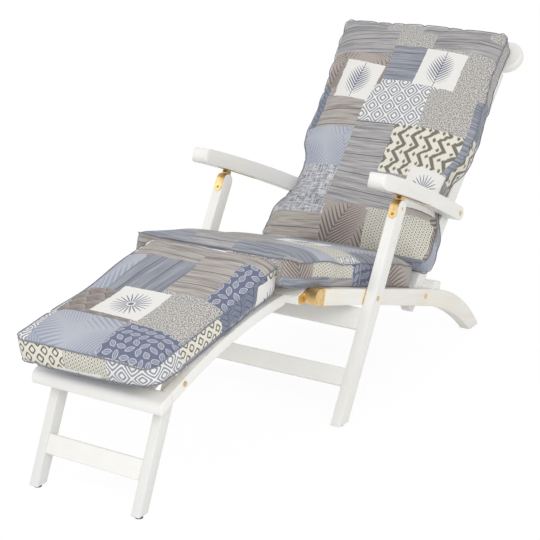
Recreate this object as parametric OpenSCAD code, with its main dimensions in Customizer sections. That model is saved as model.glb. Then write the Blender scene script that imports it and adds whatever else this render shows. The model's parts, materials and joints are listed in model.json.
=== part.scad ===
// Folding steamer chair with a leg rest: white painted wooden frame, brass fittings, three loose cushions.
// The sitter faces -Y, +Z is up, the chair is symmetric about X = 0 and stands on Z = 0.

/* [Seat frame] */
// Height of the front leg bolt above the floor
leg_bolt_height = 297.5; // [290:0.5:305]
// Slope of the seat, falling towards the back
seat_slope = 15.8; // [14:0.1:17]
// Outer face of each seat rail, measured from the centre plane
rail_outer = 260; // [250:1:270]
// Thickness of a seat rail
rail_thick = 30; // [26:1:34]
// Depth of a seat rail above the bolt line
rail_above = 19.5; // [17:0.5:22]
// Depth of a seat rail below the bolt line
rail_below = 22; // [20:0.5:24]
// Distance from the front leg bolt forward to the knuckle pin
knuckle_run = 258.6; // [250:1:270]
// Distance from the front leg bolt back to the back bolt
back_bolt_run = 357; // [345:1:370]
// Distance from the back bolt to the start of the rear leg's curve
rear_curve_run = 70; // [60:1:80]
// Radius of the rear leg's top edge
rear_top_r = 590; // [575:5:605]
// Radius of the rear leg's bottom edge
rear_bottom_r = 750; // [730:5:770]
// Extra depth of the rail where the rear leg starts
rear_swell = 7; // [4:0.5:9]
// Thickness of every slat of the seat
slat_thick = 10; // [8:0.5:12]
// Width of a seat slat
seat_slat_w = 44; // [36:1:46]
// Number of slats in the seat and in the back
slat_count = 7; // [5:1:7]
// Thickness of a cross rail under the slats
cross_rail_thick = 20; // [16:1:24]
// Depth of a cross rail, front to back
cross_rail_w = 40; // [34:1:46]
// Depth of the cross board that the back leans on, front to back
stop_board_w = 52; // [46:1:58]
// Thickness of the cross board that the back leans on
stop_board_thick = 23.5; // [20:0.5:26]

/* [Front legs] */
// Angle of the front legs above the horizontal
leg_angle = 59.6; // [57:0.1:62]
// Width of a front leg across the chair
leg_thick = 28; // [24:1:30]
// Depth of a front leg in front of its bolt
leg_front = 19; // [17:0.5:21]
// Depth of a front leg behind its bolt
leg_rear = 23; // [21:0.5:25]
// Distance from the leg bolt up to the round top of the leg
leg_top_run = 247; // [242:1:252]
// Narrowing of the rear edge of a front leg at its foot
leg_foot_taper = 5; // [0:0.5:8]
// Thickness of the brass spacer between leg and rail
spacer_thick = 2; // [1.5:0.25:3]
// Thickness of the two leg stretchers
stretcher_thick = 19; // [16:1:21]
// Distance from the leg bolt down to the upper stretcher
upper_stretcher_run = 35; // [34:0.5:38]
// Height of the upper stretcher along the leg
upper_stretcher_h = 58; // [50:1:64]
// Distance from the leg bolt down to the lower stretcher
lower_stretcher_run = 197; // [185:1:205]
// Height of the lower stretcher along the leg
lower_stretcher_h = 48; // [42:1:54]

/* [Back] */
// Angle of the back above the horizontal in its lowest notch
back_angle = 46; // [44:0.5:48]
// Outer face of each back stile, measured from the centre plane
stile_outer = 228; // [222:1:228]
// Thickness of a back stile
stile_thick = 28; // [24:1:32]
// Depth of a back stile
stile_depth = 46; // [40:1:48]
// Length of the stile below the back bolt
stile_heel = 50; // [46:1:54]
// Distance from the back bolt up to the crest board
stile_run = 774; // [740:1:800]
// Height of the crest board
crest_h = 100; // [90:1:110]
// Thickness of the crest board
crest_thick = 28; // [24:1:32]
// Overhang of the crest board beyond each stile
crest_overhang = 50; // [40:1:60]
// Distance from the back bolt up to the lower back rail
back_rail_run = 104; // [100:1:120]
// Height of the lower back rail
back_rail_h = 46; // [40:1:56]

/* [Arms] */
// Distance from the back bolt up to the arm bolt
arm_bolt_run = 276; // [270:1:282]
// Fall of the arms from front to rear
arm_slope = 21.9; // [21:0.1:22.8]
// Length of an arm from its bolt to the centre of its nose
arm_run = 552; // [535:1:565]
// Thickness of an arm
arm_thick = 41; // [38:0.5:43]
// Rise of the arm's curve above its chord
arm_rise = 7; // [5:0.5:9]
// Width of the front of an arm
arm_front_w = 50; // [44:1:56]
// Width of an arm at its bolt
arm_rear_w = 39; // [34:1:44]
// Outer face of the front of an arm, measured from the centre plane
arm_front_outer = 299; // [295:1:303]
// Width of the groove that the leg post slides in
groove_w = 12; // [11:0.5:14]
// Depth of the groove that the leg post slides in
groove_depth = 18; // [16:0.5:20]
// Number of rest notches in each arm track
notch_count = 4; // [2:1:5]
// Distance between two notches
notch_pitch = 34; // [28:1:36]

/* [Leg rest] */
// Slope of the leg rest, falling towards the foot
rest_slope = 12; // [10:0.5:14]
// Distance from the knuckle pin to the front of the foot board
rest_run = 570; // [550:1:590]
// Outer face of each leg rest rail, measured from the centre plane
rest_outer = 188; // [180:1:196]
// Thickness of a leg rest rail
rest_rail_thick = 25; // [22:1:28]
// Depth of a leg rest rail
rest_rail_depth = 27; // [25:1:30]
// Height of the arch of the leg rest above the knuckle pin
rest_arch = 40; // [38:0.5:42]
// Radius of the arch of the leg rest
rest_radius = 1500; // [1400:10:1600]
// Depth of the foot board, front to back
foot_board_w = 46; // [40:1:52]
// Thickness of the brass leaf between the hinge board and the knuckle
leaf_thick = 3.7; // [2:0.1:6]
// Thickness of the hinge board
hinge_board_thick = 24; // [20:1:26]
// Distance from the knuckle pin to the bolt of the folding leg
prop_bolt_run = 474; // [465:1:484]
// Thickness of a folding leg
prop_thick = 25; // [20:1:28]
// Angle of the folding leg above the horizontal
prop_angle = 65.7; // [63:0.1:68]
// Distance down the folding leg to its stretcher
prop_stretcher_run = 185; // [170:1:200]
// Height of the stretcher of the folding leg
prop_stretcher_h = 48; // [40:1:54]

/* [Cushions] */
// Half the width of the seat cushion
seat_cushion_half = 236; // [225:1:238]
// Length of the seat cushion
seat_cushion_len = 690; // [660:1:700]
// Overhang of the seat cushion beyond the knuckle pin
seat_cushion_overhang = 132; // [120:1:140]
// Half the width of the leg cushion
leg_cushion_half = 198; // [186:1:204]
// Distance that the loose leg cushion lies off the middle, towards the sitter's right
leg_cushion_shift = 3; // [0:1:8]
// Half the width of the back cushion
back_cushion_half = 270; // [258:1:274]
// Length of the back cushion
back_cushion_len = 798; // [766:1:806]
// Distance that the loose back cushion lies off the middle, towards the sitter's right
back_cushion_shift = 5; // [0:1:8]
// Further distance that the top of the back cushion has slipped to the sitter's right
back_cushion_slip = 20; // [0:1:24]
// Crown of the well-filled back cushion above its boxed side
back_cushion_crown = 27; // [18:1:32]
// Height of the boxed side of every cushion
cushion_side = 62; // [56:1:66]
// Crown of the seat and leg cushions above their boxed sides
cushion_crown = 11; // [5:1:14]
// Distance that a cushion's long sides draw in between its corners
cushion_draw = 5; // [0:1:8]

/* [Fittings] */
// Radius of the pivot bolts
bolt_r = 4; // [3:0.5:5]
// Radius of a bolt's head
bolt_head_r = 7; // [6:0.5:8]
// Height of a bolt's head
bolt_head_h = 3; // [2:0.5:4]
// Radial clearance of a pivot bolt in a turning hole
bolt_clearance = 0.05; // [0.03:0.01:0.1]
// Thickness of the brass straps
strap_thick = 2; // [1.5:0.25:2.5]
// Radius of the brass knuckle at the front of each seat rail
knuckle_r = 21; // [20:0.5:22]
// Radius of the knuckle pin
hinge_pin_r = 5; // [4:0.5:6]
// Height of the rubber foot pads
pad_h = 6; // [4:0.5:8]

/* [Hidden] */
$fn = 64;
fine = 720;
tiny = 0.3;
through = 2;
far = 1500;
rail_inner = rail_outer - rail_thick;
rail_mid = (rail_above - rail_below) / 2;
rail_front = knuckle_run - knuckle_r - 2.6;
slat_top = rail_above;
slat_edge_r = 2.5;
seat_slat_rear = back_bolt_run - 22;
slat_span = stile_outer - stile_thick - 4;
slat_pitch = (2 * slat_span - seat_slat_w) / (slat_count - 1);
cross_rail_top = slat_top - slat_thick;
rear_cross_run = back_bolt_run - 62 - cross_rail_w;
back_lean = seat_slope + back_angle;
curve_start = back_bolt_run + rear_curve_run;
bottom_start = back_bolt_run + 23;
bottom_start_z = -rail_below - rear_swell;
foot_cut = pad_h;
pad_r = 9;
leg_inner = rail_outer + spacer_thick;
leg_outer = leg_inner + leg_thick;
leg_mid = leg_inner + leg_thick / 2;
leg_top_r = (leg_front + leg_rear) / 2;
leg_top_z = (leg_front - leg_rear) / 2;
leg_reach = (leg_bolt_height - foot_cut) / sin(leg_angle);
strap_half = leg_thick / 2 - 2;
strap_low = leg_top_run - 23;
post_half = 8;
post_depth_half = 10;
post_wall = 3;
post_height = 11.5;
post_top = leg_top_run + leg_top_r + post_height;
stud_r = 4;
stud_h = 10;
stile_inner = stile_outer - stile_thick;
stile_half = stile_depth / 2;
heel_r = 30;
back_rail_thick = 28;
arm_rear_inner = stile_outer + 2;
arm_rear_outer = arm_rear_inner + arm_rear_w;
arm_front_inner = arm_front_outer - arm_front_w;
arm_half = arm_thick / 2;
arm_r = (pow(arm_run / 2, 2) + pow(arm_rise, 2)) / (2 * arm_rise);
arm_taper_run = 430;
nose_r = 12;
track_half = 10;
track_front = 470;
track_rear = 250;
groove_inset = 12;
first_notch = 424;
knuckle_inner = rail_inner - 2;
knuckle_outer = rail_outer + 2;
knuckle_strap = 38;
knuckle_root = 5;
knuckle_z = [-rail_below - strap_thick, rail_above + strap_thick];
knuckle_blind = 6;
hinge_bore_r = hinge_pin_r + bolt_clearance;
pin_depth = 16;
hinge_board_half = knuckle_inner - tiny - leaf_thick;
leaf_half = 9;
rest_inner = rest_outer - rest_rail_thick;
crown_from_foot = 270;
rest_mid = rest_run - crown_from_foot;
rest_end = rest_run - foot_board_w;
hinge_board_w = 46;
hinge_board_back = 8;
hinge_board_top = arch_z(hinge_board_w);
rest_cross_run = 108;
rest_cross_w = 30;
rest_cross_thick = 12;
foot_nose_r = 20;
rest_slat_count = 5;
rest_slat_gap = 12;
prop_outer = rest_inner - 2;
prop_inner = prop_outer - prop_thick;
rest_slat_span = prop_inner - 2;
rest_slat_w = (2 * rest_slat_span - (rest_slat_count - 1) * rest_slat_gap) / rest_slat_count;
prop_mid = (prop_outer + prop_inner) / 2;
prop_head_r = 13;
prop_knee = 70;
prop_knee_front = 22;
prop_foot_front = 20;
prop_foot_rear = 10;
prop_bolt_z = arch_z(prop_bolt_run) - rest_rail_depth / 2;
running_r = bolt_r + bolt_clearance;
hinge_y = -knuckle_run * cos(seat_slope) + rail_mid * sin(seat_slope);
hinge_z = leg_bolt_height + knuckle_run * sin(seat_slope) + rail_mid * cos(seat_slope);
prop_bolt_y = hinge_y - prop_bolt_run * cos(rest_slope) - prop_bolt_z * sin(rest_slope);
prop_bolt_height = hinge_z - prop_bolt_run * sin(rest_slope) + prop_bolt_z * cos(rest_slope);
prop_reach = (prop_bolt_height - foot_cut) / sin(prop_angle);
seat_cushion_front = knuckle_run + seat_cushion_overhang;
waist_reach = 92;
dent_depth = 40;
dent_half = 218;
leg_cushion_belly = 12;
leg_cushion_tilt = 1.5;
leg_cushion_front = 590;
leg_touch_run = rest_mid - rest_radius * sin(leg_cushion_tilt);
leg_cushion_low = arch_z(leg_touch_run) * cos(leg_cushion_tilt)
    - leg_touch_run * sin(leg_cushion_tilt) + tiny;
leg_cushion_lean = seat_slope + rest_slope - leg_cushion_tilt;
leg_cushion_back = (seat_cushion_front - dent_depth - knuckle_run + tiny) / cos(leg_cushion_lean)
    - leg_cushion_low * tan(leg_cushion_lean) - 1.8 * cushion_draw;
crest_rear_y = back_bolt_run * cos(seat_slope) + (stile_run + crest_h) * cos(back_angle)
    + crest_thick / 2 * sin(back_angle);
foremost_y = prop_bolt_y - prop_reach * cos(prop_angle) - prop_front(prop_reach) / sin(prop_angle);
mid_y = (foremost_y + crest_rear_y) / 2;

// Height of the arched top of the leg rest at a distance from the knuckle pin
function arch_z(run) = rest_arch - rest_radius + sqrt(pow(rest_radius, 2) - pow(run - rest_mid, 2));

// Height of the arm's centre line above its chord at a distance forward of the arm bolt
function arm_z(run) = arm_rise - arm_r + sqrt(pow(arm_r, 2) - pow(run - arm_run / 2, 2));

// Depth of the folding leg in front of its axis at a distance down from its bolt
function prop_front(run) = prop_knee_front - (prop_knee_front - prop_foot_front) * (run - prop_knee) / 240;

// Place along the seat rail of the back's rear face at a height above the bolt line
function stop_run(z) = back_bolt_run + (stile_half + tiny) / sin(back_lean) + z / tan(back_lean);

// Floor position of a circle of the seat frame where it meets the foot cut
function foot_y(run, z, r) = run * cos(seat_slope) + z * sin(seat_slope)
    + sqrt(pow(r, 2) - pow(foot_cut - leg_bolt_height + run * sin(seat_slope) - z * cos(seat_slope), 2));

// Whole chair, moved so that its middle is over the origin
module chair() {
    translate([0, -mid_y, 0]) children();
}

// Frame of the seat rails: Y runs back along the rail, Z is square to it
module seat_frame() {
    chair() translate([0, 0, leg_bolt_height]) rotate([-seat_slope, 0, 0]) children();
}

// Frame of the front legs: Y runs up the leg, Z faces forward
module leg_frame() {
    chair() translate([0, 0, leg_bolt_height]) rotate([leg_angle, 0, 0]) children();
}

// Frame of the back: Y runs up the stiles, Z faces the sitter
module back_frame() {
    seat_frame() translate([0, back_bolt_run, 0]) rotate([back_lean, 0, 0]) children();
}

// Frame of the arms: the origin is the arm bolt, Y runs back along the arm
module arm_frame() {
    back_frame() translate([0, arm_bolt_run, 0]) rotate([-back_angle - arm_slope, 0, 0]) children();
}

// Frame of the leg rest: the origin is the knuckle pin, the rest lies at negative Y
module rest_frame() {
    seat_frame() translate([0, -knuckle_run, rail_mid]) rotate([seat_slope + rest_slope, 0, 0]) children();
}

// Frame of the folding leg: the origin is its bolt, Y runs down the leg, Z faces back
module prop_frame() {
    rest_frame() translate([0, -prop_bolt_run, prop_bolt_z]) rotate([180 + prop_angle - rest_slope, 0, 0])
        children();
}

// Side profile in Y and Z, extruded from x0 to x1
module slab(x0, x1) {
    translate([x0, 0, 0]) rotate([90, 0, 90]) linear_extrude(x1 - x0) children();
}

// Rod along X from x0 to x1 at a place in Y and Z
module rod(x0, x1, r, y = 0, z = 0) {
    translate([x0, y, z]) rotate([0, 90, 0]) cylinder(r = r, h = x1 - x0);
}

// Box given by its two ends on each axis
module block(x, y, z) {
    translate([x[0], y[0], z[0]]) cube([x[1] - x[0], y[1] - y[0], z[1] - z[0]]);
}

// Rectangle given by its two ends on each axis
module panel(x, y) {
    translate([x[0], y[0]]) square([x[1] - x[0], y[1] - y[0]]);
}

// The same piece on both sides of the chair
module both_sides() {
    children();
    mirror([1, 0, 0]) children();
}

// Piece of one side of the chair: 1 is the sitter's left, -1 the right
module hand(side) {
    if (side > 0) children();
    if (side < 0) mirror([1, 0, 0]) children();
}

// Everything below the foot cut, to trim a leg level with the floor
module below_floor() {
    chair() block([-far, far], [-far, far], [-far, foot_cut]);
}

// Rectangle with rounded corners
module round_rect(x, y, r) {
    panel([x[0] + r, x[1] - r], y);
    panel(x, [y[0] + r, y[1] - r]);
    for (px = [x[0] + r, x[1] - r], py = [y[0] + r, y[1] - r]) {
        translate([px, py]) circle(r = r);
    }
}

// Bolt along X with a low domed head on its outer end
module bolt(inner, outer, y = 0, z = 0) {
    dome_r = 2 * bolt_head_r;
    rod(inner, outer, bolt_r, y, z);
    translate([outer, y, z]) rotate([0, 90, 0]) intersection() {
        cylinder(r = bolt_head_r, h = bolt_head_h);
        translate([0, 0, bolt_head_h - dome_r]) sphere(r = dome_r, $fn = 96);
    }
}

// Washer along X round a pivot bolt
module washer(inner, outer, y = 0, z = 0) {
    difference() {
        rod(inner, outer, bolt_head_r + 2, y, z);
        rod(inner - through, outer + through, bolt_r, y, z);
    }
}

// Countersunk screw along Z with its face at the origin
module screw(length) {
    translate([0, 0, -length]) cylinder(r = 1.6, h = length - 1);
    translate([0, 0, -2]) cylinder(r1 = 1.6, r2 = 4, h = 2);
}

// Ring band in Y and Z between two radii round a centre, from y0 to y1
module band(centre, outer_r, inner_r, y) {
    intersection() {
        difference() {
            translate(centre) circle(r = outer_r, $fn = fine);
            translate(centre) circle(r = inner_r, $fn = fine);
        }
        panel(y, [-far, far]);
    }
}

// Side profile of a seat rail with its curved rear leg
module rail_outline() {
    difference() {
        union() {
            polygon([[-rail_front, rail_above], [-rail_front, -rail_below],
                [leg_rear, -rail_below], [bottom_start, bottom_start_z],
                [curve_start, bottom_start_z - 2], [curve_start, rail_above]]);
            intersection() {
                translate([curve_start, rail_above - rear_top_r]) circle(r = rear_top_r, $fn = fine);
                panel([curve_start, far], [-far, rail_above]);
            }
        }
        translate([bottom_start, bottom_start_z - rear_bottom_r]) circle(r = rear_bottom_r, $fn = fine);
    }
}

// Screws that hold the knuckle's two straps to the rail
module knuckle_screw_set() {
    seat_frame() both_sides() translate([(rail_inner + rail_outer) / 2, knuckle_strap - 12 - rail_front, 0]) {
        translate([0, 0, rail_above + strap_thick]) screw(14);
        translate([0, 0, -rail_below - strap_thick]) rotate([180, 0, 0]) screw(14);
    }
}

// Seat rail and rear leg in one board, with the foot cut level with the floor
module seat_rail(side) {
    color("white") difference() {
        seat_frame() hand(side) slab(rail_inner, rail_outer) rail_outline();
        below_floor();
        seat_frame() hand(side) rod(rail_inner - through, rail_outer + through, running_r, back_bolt_run);
        seat_frame() hand(side) rod(rail_inner + 4, rail_outer + through, running_r);
        knuckle_screw_set();
    }
}

module seat_rail_left() {
    seat_rail(1);
}

module seat_rail_right() {
    seat_rail(-1);
}

// Three rails across the seat, under the slats
module seat_cross_rails() {
    color("white") seat_frame() for (run = [-rail_front, 20, rear_cross_run]) {
        block([-rail_inner, rail_inner], [run, run + cross_rail_w],
            [cross_rail_top - cross_rail_thick, cross_rail_top]);
    }
}

module seat_slats() {
    color("white") seat_frame() for (i = [0 : slat_count - 1]) {
        x = -slat_span + i * slat_pitch;
        translate([0, seat_slat_rear, 0]) rotate([90, 0, 0]) linear_extrude(seat_slat_rear + rail_front)
            round_rect([x, x + seat_slat_w], [cross_rail_top, slat_top], slat_edge_r);
    }
}

// Board across the rails that the back leans on in its lowest notch
module rear_cross_board() {
    low = rail_above;
    high = rail_above + stop_board_thick;
    rear = stop_run(high) + stop_board_w - 12;
    color("white") seat_frame() slab(-rail_outer, rail_outer) {
        polygon([[stop_run(low), low], [rear, low], [rear, high - 4], [rear - 4, high],
            [stop_run(high), high]]);
    }
}

module rear_foot_pads() {
    pad_y = (foot_y(curve_start, rail_above - rear_top_r, rear_top_r)
        + foot_y(bottom_start, bottom_start_z - rear_bottom_r, rear_bottom_r)) / 2;
    color("dimgray") chair() both_sides() translate([(rail_inner + rail_outer) / 2, pad_y, 0])
        cylinder(r = pad_r, h = pad_h);
}

// Brass plates between the front legs and the rails
module leg_spacers() {
    color("goldenrod") both_sides() difference() {
        intersection() {
            seat_frame() block([rail_outer, leg_inner], [-80, 80], [-rail_below, rail_above]);
            leg_frame() block([rail_outer, leg_inner], [-80, 80], [-leg_rear - 3, leg_front + 3]);
        }
        seat_frame() rod(rail_inner, leg_inner + through, running_r);
    }
}

// Brass hinge knuckle on the front end of a seat rail
module knuckle(side) {
    color("goldenrod") difference() {
        seat_frame() hand(side) {
            slab(knuckle_inner, knuckle_outer) {
                translate([-knuckle_run, rail_mid]) circle(r = knuckle_r);
                panel([-knuckle_run, -rail_front], [rail_mid - knuckle_r, rail_mid + knuckle_r]);
            }
            slab(rail_inner + 2 * strap_thick, rail_outer - strap_thick) {
                panel([-knuckle_root - rail_front, -rail_front], knuckle_z);
                panel([-knuckle_root - rail_front, knuckle_strap - rail_front], [rail_above, knuckle_z[1]]);
                panel([-knuckle_root - rail_front, knuckle_strap - rail_front], [knuckle_z[0], -rail_below]);
            }
        }
        seat_frame() hand(side)
            rod(knuckle_inner - through, knuckle_outer - knuckle_blind, hinge_pin_r, -knuckle_run, rail_mid);
        knuckle_screw_set();
    }
}

module knuckle_left() {
    knuckle(1);
}

module knuckle_right() {
    knuckle(-1);
}

module knuckle_screws() {
    color("darkgoldenrod") knuckle_screw_set();
}

module knuckle_pins() {
    color("darkgoldenrod") seat_frame() both_sides()
        rod(hinge_board_half - pin_depth, knuckle_outer - knuckle_blind, hinge_pin_r, -knuckle_run, rail_mid);
}

// Screws through the straps on the leg tops
module strap_screw_set() {
    leg_frame() both_sides() translate([leg_mid, strap_low, leg_front + strap_thick]) screw(14);
}

// Front leg with a round top, its foot cut level with the floor
module front_leg(side) {
    foot_rear = leg_rear - leg_foot_taper;
    color("white") difference() {
        leg_frame() hand(side) slab(leg_inner, leg_outer) {
            polygon([[-leg_reach - 40, -foot_rear], [0, -leg_rear], [leg_top_run, -leg_rear],
                [leg_top_run, leg_front], [-leg_reach - 40, leg_front]]);
            translate([leg_top_run, leg_top_z]) circle(r = leg_top_r);
        }
        below_floor();
        leg_frame() hand(side) rod(leg_inner - through, leg_outer + through, bolt_r);
        leg_frame() hand(side) rod(leg_inner + 4, leg_outer + through, bolt_r, leg_top_run, leg_top_z);
        strap_screw_set();
    }
}

module front_leg_left() {
    front_leg(1);
}

module front_leg_right() {
    front_leg(-1);
}

// Board between the front legs, flush with their front faces
module leg_stretcher(run, height) {
    color("white") leg_frame() rotate([0, 90, 0]) translate([0, 0, -leg_inner])
        linear_extrude(2 * leg_inner)
            round_rect([-leg_front, stretcher_thick - leg_front], [-run - height, -run], 3);
}

module upper_stretcher() {
    leg_stretcher(upper_stretcher_run, upper_stretcher_h);
}

module lower_stretcher() {
    leg_stretcher(lower_stretcher_run, lower_stretcher_h);
}

module leg_bolts() {
    color("goldenrod") leg_frame() both_sides() bolt(rail_inner + 5, leg_outer);
}

// Brass strap that runs up the front of each leg and curls over its top
module leg_top_straps() {
    outer_r = leg_top_r + strap_thick;
    color("goldenrod") difference() {
        leg_frame() both_sides() {
            slab(leg_mid - strap_half, leg_mid + strap_half) {
                panel([strap_low, leg_top_run], [leg_front, leg_front + strap_thick]);
                difference() {
                    translate([leg_top_run, leg_top_z]) circle(r = outer_r);
                    translate([leg_top_run, leg_top_z]) circle(r = leg_top_r);
                    panel([leg_top_run - 40, leg_top_run], [-60, 60]);
                    panel([leg_top_run - 40, leg_top_run + 60], [-60, leg_top_z - 13]);
                }
            }
            translate([leg_mid, strap_low, leg_front]) cylinder(r = strap_half, h = strap_thick);
        }
        strap_screw_set();
    }
}

module strap_screws() {
    color("darkgoldenrod") strap_screw_set();
}

module leg_top_pins() {
    color("goldenrod") leg_frame() both_sides()
        rod(leg_inner + 4, leg_outer + 1, bolt_r, leg_top_run, leg_top_z);
}

// Hollow brass box on each leg top with the stud that slides in the arm's groove
module leg_posts() {
    color("goldenrod") leg_frame() both_sides() difference() {
        union() {
            block([leg_mid - post_half, leg_mid + post_half], [post_top - 1.3 * post_height, post_top],
                [leg_top_z - post_depth_half, leg_top_z + post_depth_half]);
            translate([leg_mid, post_top - post_wall, leg_top_z]) rotate([-90, 0, 0])
                cylinder(r = stud_r, h = post_wall + stud_h);
        }
        rod(leg_inner, leg_outer, leg_top_r + strap_thick, leg_top_run, leg_top_z);
        block([leg_mid - post_half + post_wall, leg_mid + post_half - post_wall],
            [post_top - post_height + strap_thick + 2, post_top - post_wall],
            [leg_top_z - post_depth_half / 2, leg_top_z + 2 * post_depth_half]);
    }
}

module front_foot_pads() {
    down = (foot_cut - leg_bolt_height - leg_top_z * cos(leg_angle)) / sin(leg_angle);
    pad_y = down * cos(leg_angle) - leg_top_z * sin(leg_angle);
    color("dimgray") chair() both_sides() translate([leg_mid, pad_y, 0]) cylinder(r = pad_r, h = pad_h);
}

module back_bolts() {
    color("goldenrod") back_frame() both_sides() bolt(stile_inner + 5, rail_outer);
}

module back_washers() {
    color("goldenrod") back_frame() both_sides() washer(stile_outer, rail_inner);
}

// Side post of the back, with a rounded heel below its bolt
module back_stile(side) {
    color("white") back_frame() hand(side) difference() {
        slab(stile_inner, stile_outer) intersection() {
            panel([-stile_heel, stile_run], [-stile_half, stile_half]);
            union() {
                panel([heel_r - stile_heel, stile_run], [-stile_half, stile_half]);
                translate([heel_r - stile_heel, stile_half - heel_r]) circle(r = heel_r);
            }
        }
        rod(stile_inner + 4, stile_outer + through, running_r);
        rod(stile_inner + 4, stile_outer + through, running_r, arm_bolt_run);
    }
}

module back_stile_left() {
    back_stile(1);
}

module back_stile_right() {
    back_stile(-1);
}

// Board across the top of the back with half-round ends
module crest_board() {
    end_x = stile_outer;
    color("white") back_frame() translate([0, stile_run, -crest_thick / 2]) linear_extrude(crest_thick) {
        panel([-end_x, end_x], [0, crest_h]);
        for (x = [-end_x, end_x]) {
            translate([x, crest_h / 2]) scale([crest_overhang / (crest_h / 2), 1]) circle(r = crest_h / 2);
        }
    }
}

module lower_back_rail() {
    high = back_rail_run + back_rail_h;
    color("white") back_frame()
        block([-stile_inner, stile_inner], [back_rail_run, high],
            [-back_rail_thick / 2, back_rail_thick / 2]);
}

module back_slats() {
    low = back_rail_run + back_rail_h;
    color("white") back_frame() for (i = [0 : slat_count - 1]) {
        x = -slat_span + i * slat_pitch;
        translate([0, stile_run, 0]) rotate([90, 0, 0]) linear_extrude(stile_run - low)
            round_rect([x, x + seat_slat_w], [-slat_thick / 2, slat_thick / 2], slat_edge_r);
    }
}

module arm_bolts() {
    color("goldenrod") arm_frame() both_sides() bolt(stile_inner + 5, arm_rear_outer);
}

module arm_washers() {
    color("goldenrod") arm_frame() both_sides() washer(stile_outer, arm_rear_inner);
}

// Screws at both ends of each arm track, set in from below
module track_screw_set() {
    arm_frame() both_sides() for (run = [track_front - 6, track_rear + 6]) {
        translate([leg_mid, -run, arm_z(run) - arm_half]) rotate([180, 0, 0]) screw(12);
    }
}

// Brass plate let into the underside of an arm, before its slot is cut
module track_blank() {
    slab(leg_mid - track_half, leg_mid + track_half)
        band([-arm_run / 2, arm_rise - arm_r], arm_r - arm_half + strap_thick, arm_r - arm_half,
            [-track_front, -track_rear]);
}

// Curved arm with round ends, narrower at its bolt, with the groove for the leg post
module arm(side) {
    nose_y = -arm_run - arm_half;
    groove_y = [groove_inset - track_front, -track_rear - groove_inset];
    color("white") difference() {
        arm_frame() hand(side) intersection() {
            slab(0, arm_front_outer + 10) {
                band([-arm_run / 2, arm_rise - arm_r], arm_r + arm_half, arm_r - arm_half, [-arm_run, 0]);
                circle(r = arm_half);
                translate([-arm_run, 0]) circle(r = arm_half);
            }
            translate([0, 0, -far]) linear_extrude(2 * far) {
                polygon([[arm_rear_inner, arm_half + 1], [arm_rear_outer, arm_half + 1],
                    [arm_rear_outer, -arm_half], [arm_front_outer, -arm_taper_run],
                    [arm_front_outer, nose_y + nose_r], [arm_front_inner, nose_y + nose_r],
                    [arm_front_inner, -arm_taper_run], [arm_rear_inner, -arm_half]]);
                round_rect([arm_front_inner, arm_front_outer], [nose_y, nose_y + 60], nose_r);
            }
        }
        arm_frame() hand(side) {
            rod(0, arm_front_outer, running_r);
            track_blank();
            block([leg_mid - groove_w / 2, leg_mid + groove_w / 2], groove_y,
                [-60, arm_rise - arm_half + groove_depth]);
        }
        track_screw_set();
    }
}

module arm_left() {
    arm(1);
}

module arm_right() {
    arm(-1);
}

// Slotted brass tracks under the arms, with a row of rest notches
module arm_tracks() {
    slot_y = [groove_inset - track_front, -track_rear - groove_inset];
    color("goldenrod") difference() {
        arm_frame() both_sides() difference() {
            track_blank();
            block([leg_mid - groove_w / 2, leg_mid + groove_w / 2], slot_y, [-60, 60]);
            for (i = [0 : notch_count - 1]) {
                translate([leg_mid, i * notch_pitch - first_notch, -60])
                    cylinder(r = groove_w / 2 + 1.5, h = 120);
            }
        }
        track_screw_set();
    }
}

module track_screws() {
    color("darkgoldenrod") track_screw_set();
}

// Board across the head of the leg rest, which turns on the knuckle pins
module hinge_board() {
    low = hinge_board_top - hinge_board_thick;
    color("white") rest_frame() difference() {
        slab(-hinge_board_half, hinge_board_half)
            round_rect([-hinge_board_w, hinge_board_back], [low, hinge_board_top], 5);
        both_sides() rod(hinge_board_half - pin_depth - through, hinge_board_half + through, hinge_bore_r);
    }
}

module hinge_leaves() {
    color("goldenrod") rest_frame() both_sides() difference() {
        slab(hinge_board_half, knuckle_inner - tiny)
            round_rect([leaf_half / 2 - hinge_board_w, 1.4 * leaf_half],
                [-leaf_half, hinge_board_top - leaf_half / 3], leaf_half);
        rod(hinge_board_half - through, rail_outer, hinge_bore_r);
    }
}

// Part of the arch of the leg rest from one depth below its top to another
module arch(top, bottom, run) {
    band([-rest_mid, rest_arch - rest_radius], rest_radius - top, rest_radius - bottom, [-run[1], -run[0]]);
}

module rest_rail(side) {
    color("white") rest_frame() hand(side) difference() {
        slab(rest_inner, rest_outer) arch(0, rest_rail_depth, [hinge_board_w, rest_end]);
        rod(rest_inner - through, rest_outer + through, running_r, -prop_bolt_run, prop_bolt_z);
    }
}

module rest_rail_left() {
    rest_rail(1);
}

module rest_rail_right() {
    rest_rail(-1);
}

module rest_cross_rail() {
    color("white") rest_frame() slab(-rest_inner, rest_inner) arch(slat_thick, slat_thick + rest_cross_thick,
        [rest_cross_run, rest_cross_run + rest_cross_w]);
}

module rest_slats() {
    color("white") rest_frame() for (i = [0 : rest_slat_count - 1]) {
        x = -rest_slat_span + i * (rest_slat_w + rest_slat_gap);
        slab(x, x + rest_slat_w) arch(0, slat_thick, [hinge_board_w, rest_end]);
    }
}

// Board across the foot of the leg rest, its front edge broadly rounded over
module foot_board() {
    tilt = asin(crown_from_foot / rest_radius);
    y = foot_nose_r - rest_run;
    z = arch_z(rest_run) + foot_nose_r * tan(tilt) - foot_nose_r / cos(tilt);
    over = foot_nose_r + 1;
    color("white") rest_frame() slab(-rest_outer, rest_outer) difference() {
        arch(0, rest_rail_depth, [rest_end, rest_run]);
        difference() {
            polygon([[y - over, z], [y, z], [y - over * sin(tilt), z + over * cos(tilt)], [y - over, z + over]]);
            translate([y, z]) circle(r = foot_nose_r);
        }
    }
}

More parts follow.
